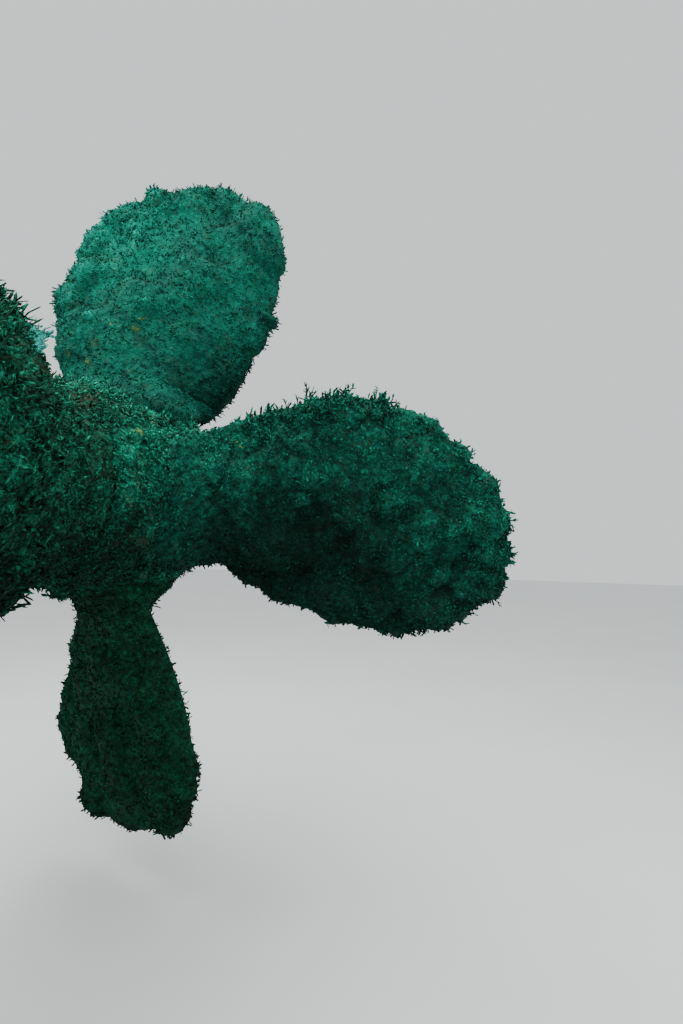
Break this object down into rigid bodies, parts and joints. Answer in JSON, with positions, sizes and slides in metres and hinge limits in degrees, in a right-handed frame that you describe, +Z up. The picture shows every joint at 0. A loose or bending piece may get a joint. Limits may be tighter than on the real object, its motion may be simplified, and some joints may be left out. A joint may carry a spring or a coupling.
{
  "type": "overgrown ship propeller",
  "caption": "Ship propeller with bolted blades on its tail shaft, thickly overgrown, turning in the end of a ship's bossing.",
  "frame": {"origin": "centre of the bossing's flat front frame, on the shaft's axis", "axes": "+Z up, Y along the shaft: -Y towards the ship, +Y aft towards the fairwater cone, +X to the right seen from the ship"},
  "size_m": [4.114, 2.8853, 4.1435],
  "materials": {
    "steel_plate": "rusted plate",
    "cast_iron": "rusted casting",
    "shaft_steel": "dull turned steel",
    "bronze": "tarnished bronze",
    "bush_wood": "dark dense hardwood",
    "blade_crust": "matt marine growth, fine tufts and clumps",
    "hub_crust": "matt marine growth with sponge and brown tufts",
    "bossing_crust": "matt marine growth with long strands"
  },
  "bodies": {
    "stern": {"front_frame": "steel_plate", "bossing_plating": "steel_plate", "stern_boss": "cast_iron", "stern_tube": "cast_iron", "stern_tube_nut": "bronze", "bearing_bush": "bush_wood", "rope_guard_upper": "steel_plate", "rope_guard_lower": "steel_plate", "bossing_growth": "bossing_crust", "rope_guard_growth": "bossing_crust"},
    "propeller": {"tail_shaft": "shaft_steel", "shaft_liner": "bronze", "gland_ring": "bronze", "hub": "cast_iron", "blade_1": "bronze", "blade_2": "bronze", "blade_3": "bronze", "blade_4": "bronze", "propeller_nut": "bronze", "fairwater_cone": "bronze", "hub_growth": "hub_crust", "blade_1_growth": "blade_crust", "blade_2_growth": "blade_crust", "blade_3_growth": "blade_crust", "blade_4_growth": "blade_crust", "cone_growth": "blade_crust"}
  },
  "joints": [
    {"name": "shaft_spin", "type": "hinge", "parent": "stern", "child": "propeller", "pos_m": [0, 1.75, 0], "axis": [0, 1, 0], "continuous": true}
  ]
}
